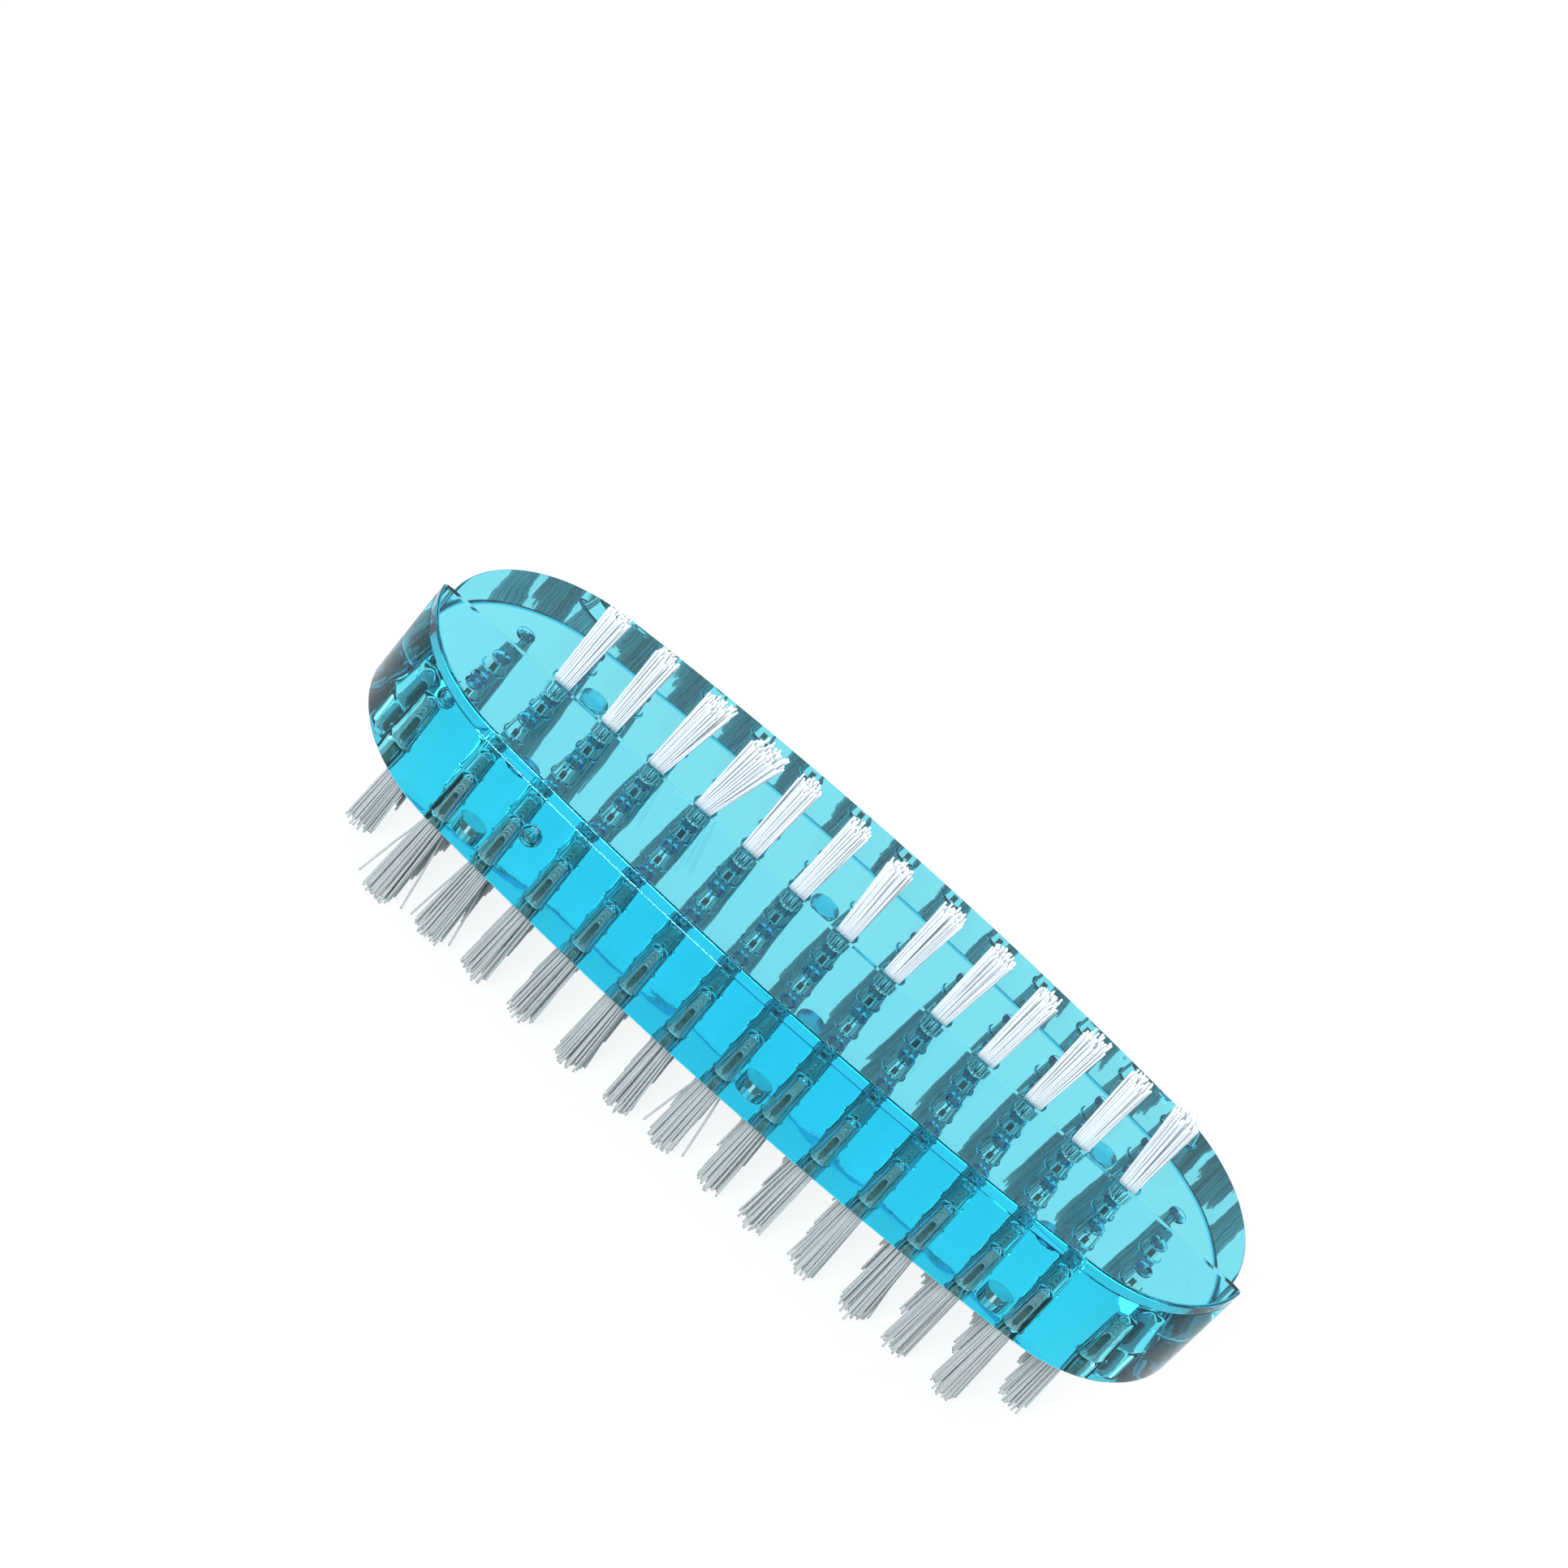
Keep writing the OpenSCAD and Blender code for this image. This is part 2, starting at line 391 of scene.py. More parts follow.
def half_oval(end_x, start):
    """End arc, side arc and end arc of the +Y half.

    The arcs are tangent, so the centres of an end arc and of the side arc are as far
    apart as their radii differ. That gives the radius of the side arc."""
    side_r = (end_x ** 2 + HALF_WIDTH ** 2 - END_R ** 2) / (2 * (HALF_WIDTH - END_R))
    join = math.atan2(side_r - HALF_WIDTH, end_x)
    return [arc((end_x, 0), END_R, start, join, END_STEPS),
            arc((0, HALF_WIDTH - side_r), side_r, join, math.pi - join, SIDE_STEPS),
            arc((-end_x, 0), END_R, math.pi - join, math.pi - start, END_STEPS)]


def front_path():
    """The front half with its corners. It is made at the rear and turned half a turn.

    A corner's arc touches the step's line and the end arc from inside, so its centre is
    a corner radius from the line and the difference of the radii from the end's centre."""
    inner_y = CORNER_R - STEP_Y
    corner_x = FRONT_END_X + math.sqrt((END_R - CORNER_R) ** 2 - inner_y ** 2)
    meet = math.atan2(inner_y, corner_x - FRONT_END_X)
    right = arc((corner_x, inner_y), CORNER_R, -math.pi / 2, meet, CORNER_STEPS)
    left = arc((-corner_x, inner_y), CORNER_R, math.pi - meet, 1.5 * math.pi, CORNER_STEPS)
    points, away = chain([right] + half_oval(FRONT_END_X, meet) + [left])
    return -points, -away


front, front_away = front_path()
rear, rear_away = chain(half_oval(REAR_END_X, math.asin(STEP_Y / END_R)))
whole = np.concatenate([front, rear])
print("outline points:", len(whole))

# %% Directions of inset
# The whole outline is inset at its foot, along the top of the rear half and, for the
# seam, along the front alone, where the rounded corners stay as they are. The two
# inner corners, where the halves meet, slide along both edges.
foot_in = np.concatenate([front_away, rear_away])
rear_in = np.concatenate([np.zeros_like(front), rear_away])
for spot, (away_x, away_y) in ((len(front), rear_away[0]), (-1, rear_away[-1])):
    foot_in[spot] = ((1 - away_y) / away_x, 1)
    rear_in[spot] = (1 / away_x, 0)
seam_in = np.concatenate([front_away, np.zeros_like(rear)])
seam_in[:CORNER_STEPS] = 0
seam_in[len(front) - CORNER_STEPS:len(front)] = 0
print("points that the seam moves:", np.count_nonzero(seam_in.any(axis=1)))

# %% [markdown]
# ## Walls and rounded edges
# The walls are rings of the outline, one above the other. A rounded edge is a few more
# rings that move inwards as they turn the corner. Rings close to each edge keep the
# shading of the round edge from creeping over the flat wall. A mould leaves a thin line
# where its halves meet, and here it runs along the front just below the step.

# %% Walls
EDGE_R = 0.25 * MM
REAR_EDGE_R = 0.1 * MM
EDGE_STEPS = 4
GUARD = 0.03 * MM
SEAM_Z = REAR_TOP - 0.18 * MM
SEAM_HALF = 0.07 * MM
SEAM_DEPTH = 0.05 * MM

block = Shell()
turn = np.linspace(0, math.pi / 2, EDGE_STEPS + 1)


def ring(outline, z, inset=0.0):
    """An outline at height z, moved by its inset, as 3-D points."""
    return np.column_stack([outline - inset, np.full(len(outline), z)])


def top_edge(outline, inward, radius, z):
    """Rings of a round edge up to height z: in by 1 - cos and down by 1 - sin, times radius."""
    return [ring(outline, z - radius * (1 - math.sin(a)), inward * radius * (1 - math.cos(a)))
            for a in turn]


below = [ring(whole, BLOCK_Z + EDGE_R * (1 - math.cos(a)), foot_in * EDGE_R * (1 - math.sin(a)))
         for a in turn]
below += [ring(whole, z) for z in (BLOCK_Z + EDGE_R + GUARD, SEAM_Z - SEAM_HALF)]
seam = [ring(whole, SEAM_Z - SEAM_HALF), ring(whole, SEAM_Z, seam_in * SEAM_DEPTH),
        ring(whole, SEAM_Z + SEAM_HALF)]
above = [ring(whole, SEAM_Z + SEAM_HALF)] + top_edge(whole, rear_in, REAR_EDGE_R, REAR_TOP)
for rings, smooth in ((below, True), (seam, False), (above, True)):
    block.add(rings, grid_faces(len(rings), len(whole)), smooth)
print("points in the walls:", block.size)

# %% The raised front half
# Its outline is the front and the step's edge, which is rounded less than the rest.
CREASE_SHARE = 0.4
CREASE_STEPS = 40

rear_edge = above[-1][len(front):, :2]
crease_x = np.linspace(rear_edge[0, 0], rear_edge[-1, 0], CREASE_STEPS + 1)
crease = np.column_stack([crease_x, np.full(CREASE_STEPS + 1, STEP_Y)])
land = np.concatenate([front, crease])
land_in = np.concatenate([front_away, np.tile([0.0, CREASE_SHARE], (len(crease), 1))])
raised = [ring(land, z) for z in (REAR_TOP, REAR_TOP + GUARD, FRONT_TOP - EDGE_R - GUARD)]
raised += top_edge(land, land_in, EDGE_R, FRONT_TOP)
block.add(raised, grid_faces(len(raised), len(land)))
print("points with the raised half:", block.size)

# %% [markdown]
# ## Holes
# A tuft hole is a turned shape: a slightly flared mouth, a bore that tapers a little, as
# moulded holes do, and a blind end like a drill's point. All holes of a row are made at
# once, as an array of rings. The ejector recesses are made the same way from a shorter
# profile. Seen through the walls, these cavities mirror the light like silver and show
# the tufts and wires inside them, which no texture could copy.

# %% Profiles of the holes
HOLE_R = 1.05 * MM
LOW_END_R = 0.86 * MM
TOP_END_R = 1.0 * MM
POINT_LENGTH = 0.38 * MM
POINT_R = 0.12 * MM
MOUTH_WIDER = 0.16 * MM
MOUTH_DEPTH = 0.1 * MM
MOUTH_RINGS, BORE_RINGS, POINT_RINGS = 5, 7, 4
POINT_BAND = MOUTH_RINGS + BORE_RINGS - 1
RECESS_R = 1.4 * MM
RECESS_DEPTH = 0.8 * MM
RECESS_FOOT_R = 0.1 * MM
RECESS_FOOT_STEPS = 4


def hole_profile(depth, end_r):
    """Radius and depth of a tuft hole from its mouth to the small flat of its point.

    The flare falls with the square of the share of its depth that is left. The bore
    tapers evenly, and the point is a cone whose middle lies at the given depth."""
    left = np.linspace(1, 0, MOUTH_RINGS)
    mouth = np.column_stack([HOLE_R + MOUTH_WIDER * left ** 2, MOUTH_DEPTH * (1 - left)])
    rim = depth - POINT_LENGTH / 2
    bore = np.column_stack([np.linspace(HOLE_R, end_r, BORE_RINGS + 1)[1:],
                            np.linspace(MOUTH_DEPTH, rim - GUARD, BORE_RINGS + 1)[1:]])
    share = np.linspace(0, 1, POINT_RINGS)
    point = np.column_stack([end_r - GUARD + (POINT_R - end_r + GUARD) * share,
                             rim + GUARD + (POINT_LENGTH - GUARD) * share])
    return np.concatenate([mouth, bore, point])


def recess_profile():
    """Radius and depth of an ejector recess: a straight wall and a quarter turn at its foot."""
    bend = np.linspace(0, math.pi / 2, RECESS_FOOT_STEPS + 1)
    foot = np.column_stack([RECESS_R - RECESS_FOOT_R * (1 - np.cos(bend)),
                            RECESS_DEPTH - RECESS_FOOT_R * (1 - np.sin(bend))])
    return np.concatenate([[(RECESS_R, 0), (RECESS_R, GUARD)], foot])


print("rings of a hole:", len(hole_profile(LOW_DEPTH, LOW_END_R)))

# %% Sinking the holes
HOLE_SIDES = 36
RECESS_Y = 7.35 * MM
RECESS_SHIFT = -0.7 * MM
RECESS_COLUMNS = (-5.5, 0.5, 5.5)

# Numbers of the block's two materials.
CLEAR, FROSTED = 0, 1


def sink_holes(centres, mouth_z, into, profile, end_material=CLEAR, flat_band=None):
    """Adds cavities at the centres, going up (into = 1) or down (-1) from mouth_z.

    Each point is the centre plus radius times (cos a, sin a). The angle runs the other
    way in holes that go up, so that all faces look into the cavity. flat_band is the
    number of a band without smooth shading, which keeps the shading of the point apart
    from that of the bore. Returns the mouths."""
    angle = -into * np.linspace(0, 2 * math.pi, HOLE_SIDES, endpoint=False)
    circle = np.stack([np.cos(angle), np.sin(angle)], axis=1)
    centres = np.array(centres)
    flat = centres[:, None, None, :] + profile[None, :, 0, None, None] * circle[None, None, :, :]
    z = np.broadcast_to(mouth_z + into * profile[None, :, 1, None], flat.shape[:3])
    cavities = np.concatenate([flat, z[..., None]], axis=-1)
    bands = len(profile) - 1
    faces = grid_faces(len(profile), HOLE_SIDES)
    smooth = np.repeat(np.arange(bands) != flat_band, HOLE_SIDES)
    end = np.arange(HOLE_SIDES)[None, :]
    for cavity in cavities:
        block.add(cavity, faces, smooth)
        block.add(cavity[-1], end, smooth=False, material=end_material)
    return [cavity[0, ::-into, :2] for cavity in cavities]


top_mouths = sink_holes([(tuft_x(i, TOP_COUNT), 0) for i in range(TOP_COUNT)], REAR_TOP, -1,
                        hole_profile(TOP_DEPTH, TOP_END_R), flat_band=POINT_BAND)
low_mouths = []
for row, anchors in enumerate(LOW_ROWS):
    low_mouths += sink_holes([(tuft_x(i, COLUMN_COUNT), anchors.y) for i in row_columns(row)], BLOCK_Z, 1,
                             hole_profile(row_depth(row), LOW_END_R), flat_band=POINT_BAND)
recesses = [(-side * column * PITCH, side * RECESS_Y + RECESS_SHIFT)
            for column in RECESS_COLUMNS for side in (-1, 1)]
low_mouths += sink_holes(recesses, BLOCK_Z, 1, recess_profile(), end_material=FROSTED)
print("cavities from above:", len(top_mouths), "and from below:", len(low_mouths))

# %% [markdown]
# ## Flat faces
# The underside is one flat face with 77 round holes in it, and the rear half of the top
# has 13. A constrained triangulation fills the outline and keeps the rims of the holes
# as edges. It also fills the holes, so triangles whose middle lies in a hole go again.

# %% Triangulated faces
SAME_POINT_MM = 1e-6


def crossings(points, loops):
    """How many edges of the loops a ray along +X from each point crosses.

    An edge counts where its two ends lie on different sides of the ray's height and it
    reaches that height further along X than the point."""
    count = np.zeros(len(points), dtype=int)
    for loop in loops:
        start, end = loop, np.roll(loop, -1, axis=0)
        x, y = points[:, None, 0], points[:, None, 1]
        spans = (start[None, :, 1] > y) != (end[None, :, 1] > y)
        rise = np.where(spans, end[:, 1] - start[:, 1], 1)
        at = start[:, 0] + (y - start[:, 1]) / rise * (end[:, 0] - start[:, 0])
        count += (spans & (x < at)).sum(axis=1)
    return count


def flat_face(loops, z, facing):
    """Adds a flat face at height z, bounded by its first loop and pierced by the others.

    A triangle's area is half a cross product, whose sign says which way it faces. Those
    that face the wrong way are turned round."""
    loops = [np.asarray(loop) / MM for loop in loops]
    edges, first = [], 0
    for loop in loops:
        index = np.arange(first, first + len(loop))
        edges += np.column_stack([index, np.roll(index, -1)]).tolist()
        first += len(loop)
    points = [Vector(point) for point in np.concatenate(loops)]
    found = delaunay_2d_cdt(points, edges, [], 0, SAME_POINT_MM)
    corners = np.array([tuple(point) for point in found[0]])
    triangles = np.array(found[2])
    middles = corners[triangles].mean(axis=1)
    triangles = triangles[crossings(middles, loops) % 2 == 1]
    doubled_area = np.cross(corners[triangles[:, 1]] - corners[triangles[:, 0]],
                            corners[triangles[:, 2]] - corners[triangles[:, 0]])
    wrong = doubled_area * facing < 0
    triangles[wrong] = triangles[wrong][:, ::-1]
    block.add(np.column_stack([corners * MM, np.full(len(corners), z)]), triangles, smooth=False)
    print("flat face with", len(loops) - 1, "holes and", len(triangles), "triangles")


flat_face([raised[-1][:, :2]], FRONT_TOP, 1)
rear_loop = np.concatenate([rear_edge, crease[::-1][1:-1]])
flat_face([rear_loop] + top_mouths, REAR_TOP, 1)
flat_face([below[0][:, :2]] + low_mouths, BLOCK_Z, -1)

# %% [markdown]
# ## Bubbles
# Two small bubbles of air are caught in the plastic near the front. A bubble is a
# ball whose faces look inwards, because the air is outside the plastic.

# %% Bubbles, and the block as a piece
BUBBLES_MM = [((-25.2, -12.1, 17.9), 1.05), ((-37.4, -8.0, 19.8), 0.85)]
BUBBLE_RINGS, BUBBLE_SIDES = 17, 24
WELD = 0.001 * MM

# A point of the ball is (sin p cos a, sin p sin a, -cos p), with p from pole to pole.
polar = np.linspace(0, math.pi, BUBBLE_RINGS)[1:-1]
around = -np.linspace(0, 2 * math.pi, BUBBLE_SIDES, endpoint=False)
unit_ball = np.stack([np.outer(np.sin(polar), np.cos(around)), np.outer(np.sin(polar), np.sin(around)),
                      np.repeat(-np.cos(polar)[:, None], BUBBLE_SIDES, axis=1)], axis=-1)
pole = np.arange(BUBBLE_SIDES)[None, :]
for centre, radius in BUBBLES_MM:
    ball = (np.array(centre) + radius * unit_ball) * MM
    block.add(ball, grid_faces(len(polar), BUBBLE_SIDES))
    block.add(ball[0], pole[:, ::-1])
    block.add(ball[-1], pole)

block_mesh = block.mesh("clear_block", [clear_plastic, frosted_plastic])
weld(block_mesh, WELD)
make_piece(block_mesh, "body")

# %% [markdown]
# ## Filaments
# Each tuft is a bundle of nylon filaments 0.2 mm thick. The machine folds the bundle in
# two over a flat wire and drives it into the hole, so every filament is a narrow U: two
# legs outside, and a fold over the wire inside. Hair particles would give lines without
# thickness, and cones would have no gaps. So each filament is a six-sided tube along
# its own centre line, and one array holds all tufts of a piece.

# %% Tubes round centre lines
FILAMENT_R = 0.1 * MM
FILAMENT_SIDES = 6


def tube_faces(count, rings, sides):
    """Quads of that many tubes, and the flat faces that close their two ends."""
    quads = grid_faces(rings, sides)
    start = np.arange(count)[:, None, None] * rings * sides
    first = np.arange(sides)[None, None, ::-1]
    last = (rings - 1) * sides + np.arange(sides)[None, None, :]
    caps = np.concatenate([start + first, start + last], axis=1)
    return (start + quads[None]).reshape(-1, 4), caps.reshape(-1, sides)


def tubes(centres, radius, sides):
    """Points of tubes round centre lines (line, ring, xyz).

    The tangent is the difference of the neighbours. Across is Y made square to it, and
    beside is their cross product, so a tube doesn't twist over its fold. A point is the
    centre plus the radius times (beside times cos a plus across times sin a)."""
    tangent = np.gradient(centres, axis=1)
    tangent /= np.linalg.norm(tangent, axis=-1, keepdims=True)
    across = np.array([0.0, 1.0, 0.0]) - tangent[..., 1:2] * tangent
    across /= np.linalg.norm(across, axis=-1, keepdims=True)
    beside = np.cross(across, tangent)
    angle = np.linspace(0, 2 * math.pi, sides, endpoint=False)[None, None, :, None]
    return (centres[:, :, None, :]
            + radius * (np.cos(angle) * beside[:, :, None, :] + np.sin(angle) * across[:, :, None, :]))


def filament_piece(node, tufts, material):
    """Makes one piece of many filaments, which stands for the CAD node."""
    centres = np.concatenate(tufts)
    quads, caps = tube_faces(len(centres), centres.shape[1], FILAMENT_SIDES)
    shell = Shell()
    shell.add(tubes(centres, FILAMENT_R, FILAMENT_SIDES), quads)
    shell.cover(caps, smooth=False)
    make_piece(shell.mesh(node + "_filaments", [material]), node)


# %% [markdown]
# ## One tuft
# A leg starts at a spot of a hexagonal grid in the mouth of the hole. Inside, it is
# pinched against the wire. Outside, it leans with its tuft, drifts outwards in
# proportion to its distance from the middle, and is cut a little short of its length.
# A few legs go their own way, as in any used brush.
#
# How a tuft sits is kept apart from how it stands. Its seat is the middle of the mouth,
# the way out of the hole (1 for up and -1 for down), the hole's depth, and the depths of
# the wire's near and far edges. Its stance is its length, its lean and its opening, its
# bend, how ragged its tips are, and the slopes of its strays.

# %% Centre lines of a tuft
FILAMENT_PITCH = 0.205 * MM
SPOT_REACH = 6
SPOT_SCATTER_MM = 0.02
BUNDLE_R = 1.0 * MM
WIRE_HALF = 0.25 * MM
PINCH_X, PINCH_Y = 0.48, 0.78
FOLD_ROOM = 2.5 * FILAMENT_R
FOLD_TURNS = np.radians([30, 60])
SLOPE_SCATTER = 0.012
LEG_SHARES = np.array([1.0, 0.97, 0.62, 0.3, 0.0])

Seat = namedtuple("Seat", "mouth out depth wire_near wire_far")
Stance = namedtuple("Stance", "length lean opening bend ragged strays")


def bundle_spots(rng):
    """Spots of the legs on one side of the wire, half a disc of a hexagonal grid.

    Columns lie the pitch times the square root of 3/4 apart, and every other one is
    shifted by half a pitch. Each spot is then moved a little at random."""
    column, line = np.meshgrid(np.arange(SPOT_REACH), np.arange(-SPOT_REACH, SPOT_REACH + 1))
    x = (column + 0.5) * FILAMENT_PITCH * math.sqrt(0.75)
    y = (line + 0.5 * (column % 2)) * FILAMENT_PITCH
    spots = np.column_stack([x.ravel(), y.ravel()])
    spots = spots[np.hypot(*spots.T) < BUNDLE_R - FILAMENT_R]
    return spots + rng.uniform(-SPOT_SCATTER_MM, SPOT_SCATTER_MM, spots.shape) * MM


def legs_outside(spots, side, stance, rng):
    """Legs on one side of the wire, from tip to mouth.

    A leg's slope is the tuft's lean, plus the opening times its distance from the middle
    as a share of the bundle's radius, plus a little scatter. Its travel sideways is its
    slope times its reach times the share of the height to the power of the bend: with 1
    it is straight, and with less it opens early. A stray has a slope of its own along X."""
    mouth = spots * [side, 1]
    scatter = rng.normal(0, SLOPE_SCATTER, spots.shape)
    slope = np.array([stance.lean, 0]) + stance.opening * mouth / BUNDLE_R + scatter
    reach = stance.length - stance.ragged * np.abs(rng.normal(0, 1, len(spots)))
    for pick, stray in enumerate(stance.strays):
        if side * stray > 0:
            slope[-1 - pick] = (stray, 0)
            reach[-1 - pick] = stance.length
    share = LEG_SHARES[None, :, None]
    travel = slope[:, None, :] * reach[:, None, None] * share ** stance.bend
    return np.concatenate([mouth[:, None, :] + travel, reach[:, None, None] * share], axis=-1)


def legs_inside(spots, side, seat, rise):
    """The same legs in the hole: along the wire, and over it to just short of the middle.

    The fold is half an ellipse. It is as wide as the pinched legs stand apart, and it
    rises by each leg's own height beyond the far edge of the wire."""
    wide = WIRE_HALF + FILAMENT_R + PINCH_X * spots[:, 0]
    turn_x = np.concatenate([[1, 1], np.cos(FOLD_TURNS)])
    turn_z = np.concatenate([[0, 0], np.sin(FOLD_TURNS)])
    start = np.concatenate([[seat.wire_near], np.full(1 + len(FOLD_TURNS), seat.wire_far)])
    return np.stack([side * wide[:, None] * turn_x,
                     np.repeat(PINCH_Y * spots[:, 1:], len(turn_x), axis=1),
                     -start - rise[:, None] * turn_z], axis=-1)


def tuft_lines(seat, stance, rng):
    """Centre lines of a tuft's filaments, from tip to tip over the wire.

    The innermost filament folds close over the wire. The others rise in proportion to
    their distance from it, and the outermost reaches almost to the blind end."""
    spots = bundle_spots(rng)
    rank = spots[:, 0] / spots[:, 0].max()
    rise = FILAMENT_R + (seat.depth - seat.wire_far - FOLD_ROOM) * rank
    right, left = (np.concatenate([legs_outside(spots, side, stance, rng),
                                   legs_inside(spots, side, seat, rise)], axis=1) for side in (1, -1))
    top = np.column_stack([np.zeros(len(spots)), PINCH_Y * spots[:, 1], -seat.wire_far - rise])
    lines = np.concatenate([right, top[:, None, :], left[:, ::-1]], axis=1)
    return np.array(seat.mouth) + lines * [1, 1, seat.out]


# %% [markdown]
# ## Nylon and wire
# The filaments are white nylon: satin, slightly see-through, and each a touch different
# from the next. Noise squeezed thin across the strands and drawn out along them gives
# that difference without any picture. The lower tufts get a darker, greyer copy of the
# nylon, which is painted shade for the shadow that the block casts on them. The anchors
# are drawn flat wire, dull and dark where they are seen through the plastic.

# %% Nylon
NYLON_IOR = 1.53
SATIN = (0.3, 0.5)

# A third value gives the share of a noise's waves that it keeps along X, Y and Z.
STRAND_SHADE = (6000, 1, (1, 1, 0.04))
STRAND_WEAR = (9000, 2, (1, 1, 0.1))
STRAND_GRAIN = (20000, 2, (1, 1, 0.2))
STRAND_GRAIN_HEIGHT = 0.004 * MM


def nylon(name, dark, light, passing):
    """Satin white plastic whose shade differs from strand to strand.

    passing is the share of its light that comes through from the other side."""
    material, tree, output = node_material(name)
    shade = shades(tree, object_noise(tree, *STRAND_SHADE), dark, light)
    wear = spread(tree, object_noise(tree, *STRAND_WEAR), *SATIN)
    grain = bump(tree, object_noise(tree, *STRAND_GRAIN), STRAND_GRAIN_HEIGHT)
    skin = tree.nodes.new("ShaderNodeBsdfPrincipled")
    skin.inputs["IOR"].default_value = NYLON_IOR
    through = tree.nodes.new("ShaderNodeBsdfTranslucent")
    tree.links.new(shade, skin.inputs["Base Color"])
    tree.links.new(shade, through.inputs["Color"])
    tree.links.new(wear, skin.inputs["Roughness"])
    tree.links.new(grain, skin.inputs["Normal"])
    mix = mix_shaders(tree, skin.outputs["BSDF"], through.outputs["BSDF"])
    mix.inputs["Fac"].default_value = passing
    tree.links.new(mix.outputs["Shader"], output.inputs["Surface"])
    print("nylon:", name, "passing", passing)
    return material


white_nylon = nylon("white_nylon", dark=(0.87, 0.92, 0.965), light=(0.93, 0.97, 1.0), passing=0.35)
# A darker, greyer copy of the same nylon: painted shade, standing for the block's shadow over the lower
# tufts.
painted_shade_nylon = nylon("painted_shade_nylon", dark=(0.64, 0.685, 0.70), light=(0.72, 0.77, 0.785), passing=0.55)

# %% Wire
WIRE_DARK = (0.05, 0.06, 0.055)
WIRE_LIGHT = (0.16, 0.17, 0.155)
WIRE_MARKS = (5000, 3, (1, 0.08, 1))
WIRE_MARK_HEIGHT = 0.01 * MM


def drawn_wire():
    """Flat wire with fine drawing marks along it."""
    material, tree, output = node_material("drawn_wire")
    skin = tree.nodes.new("ShaderNodeBsdfPrincipled")
    skin.inputs["Metallic"].default_value = 1.0
    marks = object_noise(tree, *WIRE_MARKS)
    tree.links.new(shades(tree, marks, WIRE_DARK, WIRE_LIGHT), skin.inputs["Base Color"])
    tree.links.new(spread(tree, marks, *SATIN), skin.inputs["Roughness"])
    tree.links.new(bump(tree, marks, WIRE_MARK_HEIGHT), skin.inputs["Normal"])
    tree.links.new(skin.outputs["BSDF"], output.inputs["Surface"])
    return material


wire_metal = drawn_wire()
for node in ROW_NODES + [TOP_NODE]:
    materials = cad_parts[node].data.materials
    materials.clear()
    materials.append(wire_metal)
    print("wire finish on:", node)

# %% [markdown]
# ## Top row
# Thirteen tufts stand in the rear half, each a little different: the third leans over,
# the fourth is splayed wide by use, and the last has strays to the left. Lists in the
# order of the tufts, from -X to +X, hold the lengths and slopes that the photograph
# shows.

# %% Top tufts
TOP_SEED = 100
TOP_LENGTHS = np.array([9.0, 9.1, 9.0, 8.7, 9.0, 9.1, 8.8, 9.0, 9.1, 9.0, 9.1, 9.0, 9.4]) * MM
TOP_LEANS = [0.02, 0.02, 0.09, 0.14, 0.02, 0.03, -0.02, 0.03, 0.04, 0.03, 0.02, -0.01, -0.06]
TOP_OPENINGS = [0.03, 0.03, 0.07, 0.13, 0.02, 0.03, 0.03, 0.04, 0.05, 0.04, 0.05, 0.03, 0.06]
TOP_BEND = 1.0
TOP_RAGGED = 0.45 * MM
TOP_STRAYS = {2: (0.2,), 3: (0.29, 0.27), 12: (-0.2, -0.16)}

for i in range(TOP_COUNT):
    seat = Seat((tuft_x(i, TOP_COUNT), 0, REAR_TOP), 1, TOP_DEPTH,
                REAR_TOP - TOP_ROW.high, REAR_TOP - TOP_ROW.low)
    stance = Stance(TOP_LENGTHS[i], TOP_LEANS[i], TOP_OPENINGS[i], TOP_BEND, TOP_RAGGED,
                    TOP_STRAYS.get(i, ()))
    tuft = tuft_lines(seat, stance, np.random.default_rng(TOP_SEED + i))
    filament_piece(f"top_tuft_{i + 1:02d}", [tuft], white_nylon)

# %% [markdown]
# ## Lower rows
# The tufts of the underside are longer, more worn and more ragged, and their lowest
# tips are what the brush stands on. A column of them, front to rear, is one piece. The
# lists go from -X to +X again. Strays are given by how many columns their tuft stands
# from the middle, and only the front row has them. Their nylon is darker and greyer:
# painted shade for the shadow of the block above them.

# %% Lower tufts
LOW_SEED = 200
ROW_SEEDS = 20
LOW_LENGTH = BLOCK_Z - 0.25 * MM
LOW_LEANS = [-0.02, -0.01, 0.0, -0.02, -0.03, 0.015, 0.03, 0.0, 0.01, -0.02, 0.02, 0.03, -0.01, 0.0, 0.01]
LOW_CUTS = np.array([0.6, 0.0, 0.3, 0.7, 0.6, 0.2, 0.1, 0.3, 0.4, 0.3, 0.3, 0.4, 0.5, 0.6, 0.8]) * MM
LOW_OPENING = 0.045
LOW_BEND = 0.75
LOW_RAGGED = 0.5 * MM
LOW_STRAYS = {-6: (-0.21, 0.15), -5: (0.17, -0.14), -4: (-0.1,), -2: (0.14,), -1: (0.14,),
              0: (-0.18, 0.16), 4: (0.17,)}
FLOOR_GAP = 0.02 * MM

